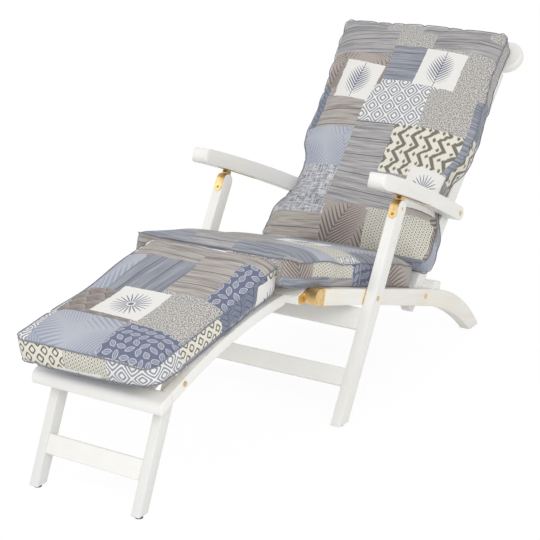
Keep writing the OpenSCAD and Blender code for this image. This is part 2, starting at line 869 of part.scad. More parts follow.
module prop_bolts() {
    color("goldenrod") prop_frame() both_sides() bolt(prop_inner + 3, rest_outer);
}

module prop_washers() {
    color("goldenrod") prop_frame() both_sides() washer(prop_outer, rest_inner);
}

// Tapered folding leg with a round head
module prop_leg(side) {
    end = prop_reach + 60;
    color("white") difference() {
        prop_frame() hand(side) slab(prop_inner, prop_outer) {
            circle(r = prop_head_r);
            polygon([[0, -prop_head_r], [prop_knee, -prop_knee_front], [end, -prop_front(end)],
                [end, prop_foot_rear], [0, prop_head_r]]);
        }
        below_floor();
        prop_frame() hand(side) rod(prop_inner + 2, prop_outer + through, bolt_r);
    }
}

module prop_leg_left() {
    prop_leg(1);
}

module prop_leg_right() {
    prop_leg(-1);
}

module prop_stretcher() {
    front = -prop_front(prop_stretcher_run + prop_stretcher_h);
    low = prop_stretcher_run;
    color("white") prop_frame() rotate([0, 90, 0]) translate([0, 0, -prop_inner])
        linear_extrude(2 * prop_inner) round_rect([-front - 16, -front], [low, low + prop_stretcher_h], 3);
}

module prop_foot_pads() {
    middle = (prop_front(prop_reach) - prop_foot_rear) / 2;
    pad_y = prop_bolt_y - prop_reach * cos(prop_angle) - middle / sin(prop_angle);
    color("dimgray") chair() both_sides() translate([prop_mid, pad_y, 0]) cylinder(r = pad_r, h = pad_h);
}

// Corner-rounded outline of a cushion: one point at an angle, for unit half sizes
function outline(a) = [sign(cos(a)) * pow(abs(cos(a)), 0.28), sign(sin(a)) * pow(abs(sin(a)), 0.28)];

// Ring of a cushion at a height, inset from the full outline
function ring(half, len, inset, z, waist, waist_y, dent, n) = [for (i = [0 : n - 1])
    let (o = outline(360 * i / n + 180 / n), y = o[1] * (len / 2 - inset), x = o[0] * (half - inset),
        side_in = cushion_draw * (1 - pow(o[1], 2)) + waist * exp(-pow((y - waist_y) / waist_reach, 4)),
        end_in = cushion_draw * (1 - pow(o[0], 2)),
        dent_in = o[1] < 0 ? dent * exp(-pow(x / dent_half, 16)) : 0)
    [x - o[0] * side_in, y - sign(y) * end_in * abs(o[1]) + dent_in, z]];

// Insets and heights of the rings of a cushion, from its underside up to its crown
function cushion_levels(half, crown, belly) = let (low = belly, high = belly + cushion_side)
    [[half * 0.55, 0], [half * 0.2, low * 0.3], [14, low * 0.7], [4, low + 1.5],
        [1.5, low + cushion_side * 0.2], [0, (low + high) / 2], [1.5, low + cushion_side * 0.8], [4, high],
        [16, high + crown * 0.42], [half * 0.3, high + crown * 0.8], [half * 0.62, high + crown]];

// Boxed cushion lying on Z = 0, centred on X and Y, with a crowned top and bulging boxed sides
module cushion(half, len, crown, belly = 0, waist = 0, waist_y = 0, dent = 0, lean = 0, slip = 0) {
    n = 64;
    levels = cushion_levels(half, crown, belly);
    rings = [for (l = levels) each ring(half, len, l[0], l[1], waist, waist_y, dent, n)];
    count = len(levels);
    walls = [for (k = [0 : count - 2], i = [0 : n - 1]) let (j = (i + 1) % n)
        each [[k * n + i, k * n + n + i, k * n + j], [k * n + j, k * n + n + i, k * n + n + j]]];
    low_cap = [for (i = [0 : n - 1]) [i, (i + 1) % n, count * n]];
    high_cap = [for (i = [0 : n - 1]) [(count - 1) * n + (i + 1) % n, (count - 1) * n + i, count * n + 1]];
    points = concat(rings, [[0, 0, 0], [0, 0, levels[count - 1][1] + 0.5]]);
    leaned = [for (p = points) let (high = max(0, p[1]) * 2 / len)
        [p[0] - slip * pow(high, 2), p[1] + tan(lean) * p[2] * high, p[2]]];
    polyhedron(leaned, concat(walls, low_cap, high_cap));
}

module back_cushion() {
    low = 58;
    centre = low + back_cushion_len / 2;
    waist = back_cushion_half + back_cushion_shift - stile_outer + 1;
    color("lightsteelblue") back_frame() translate([-back_cushion_shift, centre, stile_half + tiny])
        cushion(back_cushion_half, back_cushion_len, back_cushion_crown, waist = waist,
            waist_y = arm_bolt_run + 6 - centre, slip = back_cushion_slip);
}

// Seat cushion, pressed in at its front by the head of the leg cushion
module seat_cushion() {
    middle = seat_cushion_len / 2 - seat_cushion_front;
    color("lightsteelblue") seat_frame() translate([0, middle, rail_above + tiny])
        cushion(seat_cushion_half, seat_cushion_len, cushion_crown, dent = dent_depth);
}

// Leg cushion, its head sloped to lie against the seat cushion
module leg_cushion() {
    length = leg_cushion_front - leg_cushion_back;
    color("lightsteelblue") rest_frame() rotate([-leg_cushion_tilt, 0, 0])
        translate([-leg_cushion_shift, -leg_cushion_back - length / 2, leg_cushion_low])
            cushion(leg_cushion_half, length, cushion_crown, leg_cushion_belly, lean = leg_cushion_lean);
}

seat_rail_left();
seat_rail_right();
seat_cross_rails();
seat_slats();
rear_cross_board();
rear_foot_pads();
leg_spacers();
knuckle_left();
knuckle_right();
knuckle_screws();
knuckle_pins();
front_leg_left();
front_leg_right();
upper_stretcher();
lower_stretcher();
leg_bolts();
leg_top_straps();
strap_screws();
leg_top_pins();
leg_posts();
front_foot_pads();
back_bolts();
back_washers();
back_stile_left();
back_stile_right();
crest_board();
lower_back_rail();
back_slats();
arm_bolts();
arm_washers();
arm_left();
arm_right();
arm_tracks();
track_screws();
hinge_board();
hinge_leaves();
rest_rail_left();
rest_rail_right();
rest_cross_rail();
rest_slats();
foot_board();
prop_bolts();
prop_washers();
prop_leg_left();
prop_leg_right();
prop_stretcher();
prop_foot_pads();
back_cushion();
seat_cushion();
leg_cushion();
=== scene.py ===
"""Looks of a folding steamer chair: painted wood, brass fittings and three boxed cushions in patchwork cloth."""
import json
import math

import bmesh
import bpy
import numpy as np
from mathutils import Matrix, Vector


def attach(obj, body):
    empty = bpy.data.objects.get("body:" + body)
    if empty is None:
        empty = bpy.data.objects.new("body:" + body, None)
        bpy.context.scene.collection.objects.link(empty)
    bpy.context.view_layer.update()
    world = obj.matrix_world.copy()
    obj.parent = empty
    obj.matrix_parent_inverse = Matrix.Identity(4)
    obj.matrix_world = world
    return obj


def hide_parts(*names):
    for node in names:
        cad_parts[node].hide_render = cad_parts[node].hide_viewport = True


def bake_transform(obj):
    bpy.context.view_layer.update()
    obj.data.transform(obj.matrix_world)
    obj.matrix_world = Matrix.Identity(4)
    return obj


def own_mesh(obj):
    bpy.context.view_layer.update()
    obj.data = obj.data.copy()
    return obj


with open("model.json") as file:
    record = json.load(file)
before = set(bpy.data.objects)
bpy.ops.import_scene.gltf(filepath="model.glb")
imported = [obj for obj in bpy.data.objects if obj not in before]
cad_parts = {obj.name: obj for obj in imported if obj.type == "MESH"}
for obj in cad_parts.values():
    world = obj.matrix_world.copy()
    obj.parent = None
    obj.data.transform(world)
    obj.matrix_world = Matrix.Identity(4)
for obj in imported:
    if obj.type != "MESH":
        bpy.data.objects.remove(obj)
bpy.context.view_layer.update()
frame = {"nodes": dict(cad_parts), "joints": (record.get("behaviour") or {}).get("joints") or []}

pivots = {j["name"]: Vector(j["pos_m"]) for j in frame["joints"]}


class Plane:
    """A tilted working plane of the chair: X across, along runs to the rear, up is square to it."""

    def __init__(self, origin, degrees):
        a = math.radians(degrees)
        self.origin = Vector(origin)
        self.along = Vector((0, math.cos(a), math.sin(a)))
        self.up = Vector((0, -math.sin(a), math.cos(a)))

    def at(self, x, along, up):
        return self.origin + Vector((x, 0, 0)) + self.along * along + self.up * up

    def matrix(self):
        axes = Matrix((Vector((1, 0, 0)), self.along, self.up)).transposed()
        return Matrix.Translation(self.origin) @ axes.to_4x4()


# Slopes of the boards against the floor, in degrees; those of the three planes carry the cushions
SEAT_SLOPE, BACK_SLOPE, PAD_SLOPE = -15.8, 46.0, 10.5
LEG_SLOPE, ARM_SLOPE, REST_SLOPE, PROP_SLOPE = 59.6, -21.9, 12.0, 65.7

seat = Plane(pivots["front_legs_fold"], SEAT_SLOPE)
back = Plane(pivots["fold"], BACK_SLOPE)
pad = Plane(pivots["leg_rest_lift"], PAD_SLOPE)


# Colours and shader building

def paint(hex_code):
    """Linear colour of a written screen colour."""
    parts = [int(hex_code[i:i + 2], 16) / 255 for i in (1, 3, 5)]
    return tuple(p / 12.92 if p <= 0.04045 else ((p + 0.055) / 1.055) ** 2.4 for p in parts) + (1.0,)


class Field:
    """A number that varies over a surface. Arithmetic on it adds maths nodes to its shader."""

    def __init__(self, shader, socket):
        self.shader, self.socket = shader, socket

    def __add__(self, other):
        return self.shader.math("ADD", self, other)

    def __sub__(self, other):
        return self.shader.math("SUBTRACT", self, other)

    def __rsub__(self, other):
        return self.shader.math("SUBTRACT", other, self)

    def __mul__(self, other):
        return self.shader.math("MULTIPLY", self, other)

    def __truediv__(self, other):
        return self.shader.math("DIVIDE", self, other)

    def __gt__(self, other):
        return self.shader.math("GREATER_THAN", self, other)

    def __lt__(self, other):
        return self.shader.math("LESS_THAN", self, other)

    def __abs__(self):
        return self.shader.math("ABSOLUTE", self)

    def floor(self):
        return self.shader.math("FLOOR", self)

    def part(self):
        return self.shader.math("FRACT", self)

    __radd__, __rmul__ = __add__, __mul__


class Shader:
    """A material with one principled surface and short calls for its nodes."""

    def __init__(self, name, **surface):
        self.material = bpy.data.materials.new(name)
        self.material.use_nodes = True
        self.tree = self.material.node_tree
        self.tree.nodes.clear()
        self.surface = self.node("ShaderNodeBsdfPrincipled")
        self.output = self.node("ShaderNodeOutputMaterial")
        self.tree.links.new(self.surface.outputs[0], self.output.inputs[0])
        for socket, value in surface.items():
            self.surface.inputs[socket.replace("_", " ")].default_value = value

    def node(self, kind, **settings):
        made = self.tree.nodes.new(kind)
        for key, value in settings.items():
            setattr(made, key, value)
        return made

    def feed(self, socket, value):
        value = getattr(value, "socket", value)
        if isinstance(value, bpy.types.NodeSocket):
            self.tree.links.new(value, socket)
        else:
            socket.default_value = value

    def math(self, operation, *values):
        made = self.node("ShaderNodeMath", operation=operation)
        for socket, value in zip(made.inputs, values):
            self.feed(socket, value)
        return Field(self, made.outputs[0])

    def mix(self, share, low, high):
        made = self.node("ShaderNodeMix", data_type="RGBA")
        for socket, value in zip((made.inputs[0], made.inputs[6], made.inputs[7]), (share, low, high)):
            self.feed(socket, value)
        return made.outputs[2]

    def step(self, value, edge, soft):
        """0 below the edge and 1 above it, over a soft width."""
        made = self.node("ShaderNodeMapRange", interpolation_type="SMOOTHSTEP")
        for socket, number in zip(made.inputs, (value, edge - soft, edge + soft)):
            self.feed(socket, number)
        return Field(self, made.outputs[0])

    def noise(self, place, scale, detail=2.0, rough=0.5):
        made = self.node("ShaderNodeTexNoise")
        self.feed(made.inputs["Vector"], place)
        for socket, value in (("Scale", scale), ("Detail", detail), ("Roughness", rough)):
            made.inputs[socket].default_value = value
        return Field(self, made.outputs[0])

    def vector(self, x, y, z=0.0):
        made = self.node("ShaderNodeCombineXYZ")
        for socket, value in zip(made.inputs, (x, y, z)):
            self.feed(socket, value)
        return made.outputs[0]

    def chance(self, place):
        made = self.node("ShaderNodeTexWhiteNoise", noise_dimensions="3D")
        self.feed(made.inputs["Vector"], place)
        return Field(self, made.outputs["Value"])

    def coordinate(self, turn=(0, 0, 0), stretch=(1, 1, 1)):
        place = self.node("ShaderNodeTexCoord").outputs["Object"]
        mapping = self.node("ShaderNodeMapping", vector_type="TEXTURE")
        self.feed(mapping.inputs["Vector"], place)
        mapping.inputs["Rotation"].default_value = [math.radians(t) for t in turn]
        mapping.inputs["Scale"].default_value = stretch
        return mapping.outputs[0]

    def bump(self, height, distance, strength=1.0, normal=None):
        made = self.node("ShaderNodeBump")
        made.inputs["Distance"].default_value = distance
        made.inputs["Strength"].default_value = strength
        self.feed(made.inputs["Height"], height)
        if normal is not None:
            self.feed(made.inputs["Normal"], normal)
        return made.outputs[0]

    def rounded_edge(self, radius):
        """Normal that shades sharp edges as if they were rounded."""
        made = self.node("ShaderNodeBevel", samples=6)
        made.inputs["Radius"].default_value = radius
        return made.outputs[0]

    def show(self, **links):
        for socket, value in links.items():
            self.feed(self.surface.inputs[socket.replace("_", " ")], value)
        return self.material


def painted_wood(name, tilt=0.0, across=False, light="#f1f1ef", warm="#efe9dc", warmth=0.5):
    """White painted wood, its grain faint and along the board: tilt is the board's slope, across means along X."""
    s = Shader(name, Specular_IOR_Level=0.35)
    board = s.coordinate((tilt, 0, 0), (0.5, 0.02, 0.02) if across else (0.02, 0.5, 0.02))
    fibre = s.noise(board, 3.0, 6.0, 0.62)
    cloud = s.noise(s.coordinate((tilt, 0, 0), (0.12, 0.4, 0.12)), 2.2, 2.0)
    tone = s.mix(s.step(cloud, 0.5, 0.25) * warmth, paint(light), paint(warm))
    tone = s.mix(s.step(fibre, 0.62, 0.16) * (0.1 + 0.16 * warmth), tone, paint("#ddd3bd"))
    relief = s.bump(fibre, 0.0003, 0.4, s.rounded_edge(0.0012))
    return s.show(Base_Color=tone, Roughness=fibre * 0.25 + 0.32, Normal=relief)


def brass(name, colour="#e6c68c", dark="#bd9b63", rough=0.3):
    """Satin brass with faint brushing and darker, duller patches."""
    s = Shader(name, Metallic=1.0)
    patch = s.noise(s.coordinate(), 55.0, 4.0, 0.6)
    brush = s.noise(s.coordinate(stretch=(0.2, 0.01, 0.01)), 6.0, 3.0)
    tone = s.mix(s.step(patch, 0.56, 0.16) * 0.6, paint(colour), paint(dark))
    return s.show(Base_Color=tone, Roughness=patch * 0.3 + (rough - 0.1),
                  Normal=s.bump(brush, 0.0002, 0.4, s.rounded_edge(0.0008)))


def rubber(name):
    """Black foot pad rubber with fine dust."""
    s = Shader(name, Specular_IOR_Level=0.3)
    dust = s.noise(s.coordinate(), 240.0, 3.0)
    return s.show(Base_Color=s.mix(s.step(dust, 0.55, 0.15), paint("#1d1c1b"), paint("#383633")),
                  Roughness=dust * 0.3 + 0.55, Normal=s.bump(dust, 0.0002, 0.5))


class Print(Shader):
    """Patchwork cloth print. u and v run over the cloth in metres, p and q over the patch, which may be turned."""

    def __init__(self, name, **surface):
        super().__init__(name, **surface)
        self.place = self.node("ShaderNodeUVMap", uv_map="cloth").outputs[0]
        split = self.node("ShaderNodeSeparateXYZ")
        self.feed(split.inputs[0], self.place)
        self.u, self.v = Field(self, split.outputs[0]), Field(self, split.outputs[1])
        self.flaw = self.noise(self.place, 70.0, 2.0) * 0.006 - 0.003
        self.cut_patches(0.34, 0.28, strip=0.21, slide=0.1)

    def cut_patches(self, wide, tall, strip, slide):
        """Uneven patches: every cell of the cloth is cut once along and once across, at places of its own.

        Strips of the cloth slide sideways by up to half of slide, so that the cuts don't run through.
        """
        slid = self.u + (self.chance(self.vector((self.v / strip).floor(), 9.0)) - 0.5) * slide
        column = (slid / wide).floor()
        raised = self.v / tall + (column * 0.43).part()
        row = raised.floor()
        upper = (raised - row) > self.chance(self.vector(column, row, 2.0)) * 0.26 + 0.37
        half = row * 2.0 + upper
        right = (slid / wide - column) > self.chance(self.vector(column, half, 3.0)) * 0.36 + 0.32
        seed = column * 2.0 + right
        self.pick = (seed * 0.382 + self.chance(self.vector(column, half, 4.0))).part()
        lean = (self.chance(self.vector(seed, half, 5.0)) - 0.5) * 0.2
        turn = lean + (self.chance(self.vector(seed, half, 6.0)) > 0.78) * (math.pi / 2)
        c, s = self.math("COSINE", turn), self.math("SINE", turn)
        self.p, self.q = self.u * c - self.v * s, self.u * s + self.v * c
        self.streaks = self.noise(self.vector(self.p * 11.0, self.q * 380.0), 1.0, 4.0, 0.6)

    def saw(self, value, pitch, shift=0.0):
        """Distance from the middle of a repeat, from 0 to 0.5."""
        return abs((value * (1.0 / pitch) + shift).part() - 0.5)

    def inked(self, amount, ground, ink):
        return self.mix(amount, paint(ground), paint(ink))

    def lattice(self, wide, tall, rough=0.0):
        """1 at the middle of each softly rounded diamond of a lattice and 0 on the lines between them."""
        x, y = self.p + self.flaw * rough, self.q + self.flaw * rough
        straight = abs(self.saw(x, wide) + self.saw(y, tall) - 0.5) * 2.0
        a, b = self.math("COSINE", x * (math.tau / wide)), self.math("COSINE", y * (math.tau / tall))
        return straight * 0.65 + abs(a + b) * 0.175

    def nested_diamonds(self, ground, ink, wide=0.054, tall=0.06):
        rings = self.math("COSINE", self.lattice(wide, tall, 0.2) * (math.tau * 2.25))
        return self.inked(self.step(rings, 0.1, 0.4), ground, ink)

    def small_rings(self, ground, ink, wide=0.034, tall=0.04):
        ring = abs(self.lattice(wide, tall, 0.8) - 0.5)
        return self.inked(1.0 - self.step(ring, 0.15, 0.06), ground, ink)

    def basket(self, ground, ink, wide=0.009, tall=0.0085):
        """Fine dark dashes that change direction from one to the next."""
        column = (self.p / wide).floor()
        a, b = self.saw(self.p, wide), self.saw(self.q, tall, column * 0.5)
        dash = self.math("MAXIMUM", (a < 0.16) * (b < 0.3), (a > 0.36) * (b > 0.3))
        return self.inked(dash * 0.9, ground, ink)

    def zigzag(self, ground, ink, wide=0.056, tall=0.042, rise=0.054):
        """Bold zigzag bands with a filled diamond in each, as in warp-dyed cloth."""
        bent = self.q + self.flaw * 1.6 + self.saw(self.p + self.flaw * 1.6, wide) * rise
        line = self.step(self.saw(bent, tall), 0.33, 0.05)
        core = self.step(self.lattice(wide, tall, 1.2), 0.78, 0.08)
        return self.inked(self.math("MAXIMUM", line, core), ground, ink)

    def planks(self, light, dark, joint, board=0.055):
        """Weathered boards: close grain lines, a few darker runs and a joint between boards."""
        runs = self.noise(self.vector(self.p * 4.0, self.q * 95.0), 1.0, 3.0, 0.6)
        tone = self.inked(self.step(self.streaks, 0.5, 0.16), dark, light)
        tone = self.mix(self.step(runs, 0.56, 0.1) * 0.6, tone, paint(joint))
        return self.mix(self.step(self.saw(self.q, board), 0.475, 0.012), tone, paint(joint))

    def brushed(self, light, dark, ink):
        """Cross-brushed, half-dry dye over pale cloth."""
        rows = self.noise(self.vector(self.p * 26.0, self.q * 210.0), 1.0, 3.0, 0.7)
        columns = self.noise(self.vector(self.p * 230.0, self.q * 30.0), 1.0, 3.0, 0.7)
        tone = self.inked(self.step(rows, 0.5, 0.1), dark, light)
        return self.mix(self.step(columns, 0.53, 0.08) * 0.7, tone, paint(ink))

    def ovals(self, fill, line, wide=0.019, tall=0.03):
        """Lattice of linked ovals."""
        a, b = self.saw(self.p, wide), self.saw(self.q, tall)
        ring = self.math("SQRT", a * a * 1.9 + b * b)
        return self.inked(self.step(abs(ring - 0.47), 0.07, 0.03), line, fill)

    def pebbles(self, light, dark):
        return self.inked(self.step(self.noise(self.place, 330.0, 2.0), 0.5, 0.06), dark, light)

    def herringbone(self, ground, line, tone, wide=0.05, tall=0.016):
        """Slanted dark lines that meet at upright spines."""
        spine = self.saw(self.p, wide)
        slant = self.saw(self.q + spine * 0.04, tall)
        ink = self.math("MAXIMUM", self.step(slant, 0.43, 0.04), self.step(spine, 0.478, 0.012))
        body = self.inked(self.step(self.streaks, 0.5, 0.2), ground, tone)
        return self.mix(ink, body, paint(line))

    def blade(self, x, y, length, width, pitch):
        """A frond: slanting leaflets on both sides of a stem, tapering to the rim of a long oval. 1 is ink."""
        side = abs(x)
        oval = self.math("POWER", side / width, 2.0) + self.math("POWER", y / length, 2.0)
        leaflets = self.step(self.saw(y - side * 0.9, pitch) - oval * 0.3, 0.17, 0.05)
        stem = (side < 0.0011) * (abs(y) < length * 1.2)
        return self.math("MAXIMUM", leaflets, stem)

    def flower(self, x, y, radius, petals=22):
        """A round flower head seen from above: slender petals around a small heart. 1 is ink."""
        out = self.math("SQRT", x * x + y * y) / radius
        turn = self.math("ARCTAN2", x, y)
        ring = self.step(self.saw(turn, math.tau / petals) - out * 0.32, 0.1, 0.05) * (out > 0.24)
        return self.math("MAXIMUM", ring * (out < 1.1), out < 0.15)

    def fronds(self, ground, ink, pitch=0.15):
        """Large fronds that lean both ways."""
        tall = self.q / (pitch * 1.4)
        y = (tall.part() - 0.5) * (pitch * 1.4)
        lean = self.math("MODULO", abs(tall.floor()), 2.0) * 1.1 - 0.55
        x = (((self.p + y * lean) / pitch).part() - 0.5) * pitch
        return self.inked(self.blade(x, y, pitch * 0.8, pitch * 0.55, 0.0125), ground, ink)

    def leaves(self, ground, line, fill, size=0.024):
        """Outlined leaves, each turned its own way."""
        a, b = self.p / size, self.q / size
        turn = self.chance(self.vector(a.floor(), b.floor(), 11.0)) * math.tau
        c, s = self.math("COSINE", turn), self.math("SINE", turn)
        x, y = (a.part() - 0.5) * size, (b.part() - 0.5) * size
        across, along = abs(x * c - y * s), x * s + y * c
        rim = across - (0.0062 - along * along * 42.0)
        veins = self.math("MAXIMUM", across < 0.0006, self.saw(along - across * 0.8, 0.0042) < 0.1) * (rim < 0.0)
        tone = self.inked(rim < 0.0, ground, fill)
        return self.mix(self.math("MAXIMUM", abs(rim) < 0.0009, veins * 0.7), tone, paint(line))

    def scales(self, light, dark, line, wide=0.05, tall=0.034):
        """Overlapping rounded scales with fine rays."""
        row = self.q / tall
        x = self.saw(self.p, wide, row.floor() * 0.5)
        arc = (x * x * 2.6 + row.part()).part()
        tone = self.inked(arc, dark, light)
        tone = self.mix(self.step(self.streaks, 0.52, 0.1) * 0.5, tone, paint(dark))
        return self.mix(self.step(abs(arc - 0.5), 0.46, 0.02), tone, paint(line))

    def choose(self, share, tones):
        """One tone for each even part of a share from 0 to 1."""
        shown = tones[0]
        for i, tone in enumerate(tones[1:], 1):
            shown = self.mix(share > i / len(tones), shown, tone)
        return shown

    def cards(self, cloth, paper, ink, wide=0.36, tall=0.34):
        """Pale cards with one sprig each, laid askew over some of the patches."""
        a, b = (self.u + 0.34) / wide, (self.v + 0.1) / tall
        home = [a.floor(), b.floor()]
        lean = self.chance(self.vector(*home, 2.0)) * 0.5 - 0.25
        drift = (self.chance(self.vector(*home, 12.0)) - 0.5) * 0.12
        x, y = (a.part() - 0.5) * wide + drift, (b.part() - 0.5) * tall - drift * 0.6
        across, along = x + y * lean, y - x * lean
        ragged = self.flaw * 0.8
        inside = (abs(across) + ragged < 0.068) * (abs(along) + ragged < 0.066)
        present = inside * (self.chance(self.vector(*home, 7.0)) > 0.25)
        second = self.chance(self.vector(*home, 21.0)) > 0.5
        frond, flower = self.blade(across, along, 0.054, 0.042, 0.0105), self.flower(across, along, 0.045)
        return self.mix(present, cloth, self.inked((frond + (flower - frond) * second) * 0.88, paper, ink))


def patchwork(name):
    """Patches of uneven size, each with one of a set of traditional patterns, and some pale cards laid over them."""
    s = Print(name, Roughness=0.86, Specular_IOR_Level=0.2, Sheen_Weight=0.1)
    boards = s.planks("#c2bbb6", "#98918c", "#716a67")
    grey_boards = s.planks("#a9acb4", "#7f838f", "#5f6472")
    dye = s.brushed("#bdbec2", "#696e82", "#e3e1de")
    rings = s.nested_diamonds("#9497a0", "#ecebe9")
    mixed_boards = s.planks("#c0bdbb", "#8e8d91", "#64636b")
    cloth = s.choose(s.pick, [
        rings,
        boards,
        s.zigzag("#e4e0d2", "#76736a"),
        dye,
        s.fronds("#aea39d", "#786d68"),
        s.small_rings("#e6e2d4", "#605e59"),
        grey_boards,
        s.pebbles("#d6d4d0", "#807b77"),
        s.scales("#aba29d", "#7d736f", "#625957"),
        boards,
        s.brushed("#a6a7ae", "#585d70", "#d2d1cf"),
        rings,
        s.basket("#e2dfd2", "#4f4e4c"),
        s.herringbone("#727a8f", "#454d64", "#858c9f"),
        mixed_boards,
        boards,
        s.ovals("#94a7b8", "#e3e5e1"),
        s.leaves("#686f88", "#c6c7cd", "#7c8298"),
        s.fronds("#b4b8c2", "#989eaf"),
        grey_boards,
    ])
    cloth = s.cards(cloth, "#e9e7e3", "#4f5a7a")
    weft = s.math("SINE", s.u * 5200.0) * s.math("SINE", s.v * 5200.0)
    slub = s.noise(s.vector(s.u * 90.0, s.v * 1400.0), 1.0, 2.0)
    cloth = s.mix(s.step(slub, 0.6, 0.2) * 0.1, cloth, paint("#f2f1ee"))
    folds = s.noise(s.place, 22.0, 3.0)
    relief = s.bump(folds, 0.0025, 0.35, s.bump(weft * 0.5 + slub, 0.00018, 0.6))
    return s.show(Base_Color=cloth, Normal=relief)


def plain_cloth(name, colour, dark):
    """Spun cord of one shade, with its fibres."""
    s = Shader(name, Roughness=0.85)
    fibre = s.noise(s.coordinate(), 900.0, 2.0)
    return s.show(Base_Color=s.mix(fibre, paint(dark), paint(colour)), Normal=s.bump(fibre, 0.0002, 0.6))


wood_across = painted_wood("wood_across", across=True, warmth=0.35)
wood_rail = painted_wood("wood_rail", tilt=SEAT_SLOPE, warmth=1.0)
wood_leg = painted_wood("wood_leg", tilt=LEG_SLOPE, warmth=0.25)
wood_back = painted_wood("wood_back", tilt=BACK_SLOPE, warmth=0.4)
wood_arm = painted_wood("wood_arm", tilt=ARM_SLOPE, warmth=0.3)
wood_rest = painted_wood("wood_rest", tilt=REST_SLOPE, warmth=0.6)
wood_prop = painted_wood("wood_prop", tilt=PROP_SLOPE, light="#e4e5e4", warmth=0.2)
satin_brass = brass("satin_brass")
screw_brass = brass("screw_brass", "#b0915a", "#7a6238", 0.36)
pad_rubber = rubber("pad_rubber")
patch_cloth = patchwork("patch_cloth")
cord_dark = plain_cloth("cord_dark", "#9598a3", "#696d7b")
cord_light = plain_cloth("cord_light", "#d9d8d6", "#b1b0b2")

finishes = {
    wood_across: ["seat_cross_rails", "rear_cross_board", "upper_stretcher", "lower_stretcher", "crest_board",
                  "lower_back_rail", "hinge_board", "rest_cross_rail", "foot_board", "prop_stretcher"],
    wood_rail: ["seat_rail_left", "seat_rail_right", "seat_slats"],
    wood_leg: ["front_leg_left", "front_leg_right"],
    wood_back: ["back_stile_left", "back_stile_right", "back_slats"],
    wood_arm: ["arm_left", "arm_right"],
    wood_rest: ["rest_rail_left", "rest_rail_right", "rest_slats"],
    wood_prop: ["prop_leg_left", "prop_leg_right"],
    satin_brass: ["leg_spacers", "knuckle_left", "knuckle_right", "knuckle_pins", "leg_bolts", "leg_top_straps",
                  "leg_top_pins", "leg_posts", "back_bolts", "back_washers", "arm_bolts", "arm_washers", "arm_tracks",
                  "hinge_leaves", "prop_bolts", "prop_washers"],
    screw_brass: ["knuckle_screws", "strap_screws", "track_screws"],
    pad_rubber: ["rear_foot_pads", "front_foot_pads", "prop_foot_pads"],
    patch_cloth: ["back_cushion", "seat_cushion", "leg_cushion"],
}
for finish, names in finishes.items():
    for name in names:
        piece = frame["nodes"][name]
        piece.data.materials.clear()
        piece.data.materials.append(finish)


# Softened woodwork: copies of the CAD boards with rounded edges

WELD_REACH = 0.00002    # points of a board that lie closer than this are one
FLAT_ANGLE = 0.4        # degrees between faces that count as one plane
EDGE_ANGLE = 38         # degrees from which an edge is rounded
SHARP_ANGLE = 35        # degrees from which shading breaks


def mesh_object(name, mesh, *materials):
    made = bpy.data.objects.new(name, mesh)
    bpy.context.scene.collection.objects.link(made)
    for material in materials:
        mesh.materials.append(material)
    return made


def applied(piece):
    """The piece's mesh with its modifiers worked in, and none left on it."""
    view = bpy.context.evaluated_depsgraph_get()
    view.update()
    mesh = bpy.data.meshes.new_from_object(piece.evaluated_get(view), depsgraph=view)
    piece.modifiers.clear()
    old, piece.data = piece.data, mesh
    bpy.data.meshes.remove(old)
    return piece


def softened(node, body, width, material, segments=3):
    """A copy of a board with rounded edges that stands for it and rides its body."""
    mesh = frame["nodes"][node].data.copy()
    work = bmesh.new()
    work.from_mesh(mesh)
    bmesh.ops.remove_doubles(work, verts=work.verts, dist=WELD_REACH)
    bmesh.ops.dissolve_limit(work, angle_limit=math.radians(FLAT_ANGLE), verts=work.verts, edges=work.edges)
    work.to_mesh(mesh)
    work.free()
    mesh.materials.clear()
    piece = mesh_object(node + "_softened", mesh, material)
    rounding = piece.modifiers.new("edge", "BEVEL")
    rounding.width = width
    rounding.segments = segments
    rounding.limit_method = "ANGLE"
    rounding.angle_limit = math.radians(EDGE_ANGLE)
    rounding.use_clamp_overlap = True
    rounding.harden_normals = False
    applied(piece)
    for face in piece.data.polygons:
        face.use_smooth = True
    piece.data.set_sharp_from_angle(angle=math.radians(SHARP_ANGLE))
    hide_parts(node)
    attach(piece, body)
    return piece


# Board, the body it rides on, the width of its rounded edges in metres, and its paint
for node, body, width, material in (
        ("arm_left", "arms", 0.006, wood_arm), ("arm_right", "arms", 0.006, wood_arm),
        ("front_leg_left", "front_legs", 0.003, wood_leg), ("front_leg_right", "front_legs", 0.003, wood_leg),
        ("seat_rail_left", "seat", 0.0025, wood_rail), ("seat_rail_right", "seat", 0.0025, wood_rail),
        ("back_stile_left", "back", 0.004, wood_back), ("back_stile_right", "back", 0.004, wood_back),
        ("crest_board", "back", 0.007, wood_across), ("rear_cross_board", "seat", 0.003, wood_across),
        ("rest_rail_left", "leg_rest", 0.003, wood_rest), ("rest_rail_right", "leg_rest", 0.003, wood_rest),
        ("foot_board", "leg_rest", 0.003, wood_across), ("hinge_board", "leg_rest", 0.003, wood_across),
        ("prop_leg_left", "folding_leg", 0.003, wood_prop), ("prop_leg_right", "folding_leg", 0.003, wood_prop),
        ("upper_stretcher", "front_legs", 0.002, wood_across), ("lower_stretcher", "front_legs", 0.002, wood_across),
        ("prop_stretcher", "folding_leg", 0.002, wood_across)):
    softened(node, body, width, material)


# Cushions

def rounded_corner(x, y, half, reach, radius):
    """Moves a point of a rectangle's ring so that the ring's corners are round."""
    inner_x, inner_y = half - radius, reach - radius
    over_x, over_y = abs(x) - inner_x, abs(y) - inner_y
    if over_x <= 0 or over_y <= 0 or radius <= 0:
        return x, y
    share = 0.5 * (over_y / over_x if over_y <= over_x else 2 - over_x / over_y)
    turn = share * math.pi / 2
    size = max(over_x, over_y)
    return (math.copysign(inner_x + size * math.cos(turn), x), math.copysign(inner_y + size * math.sin(turn), y))


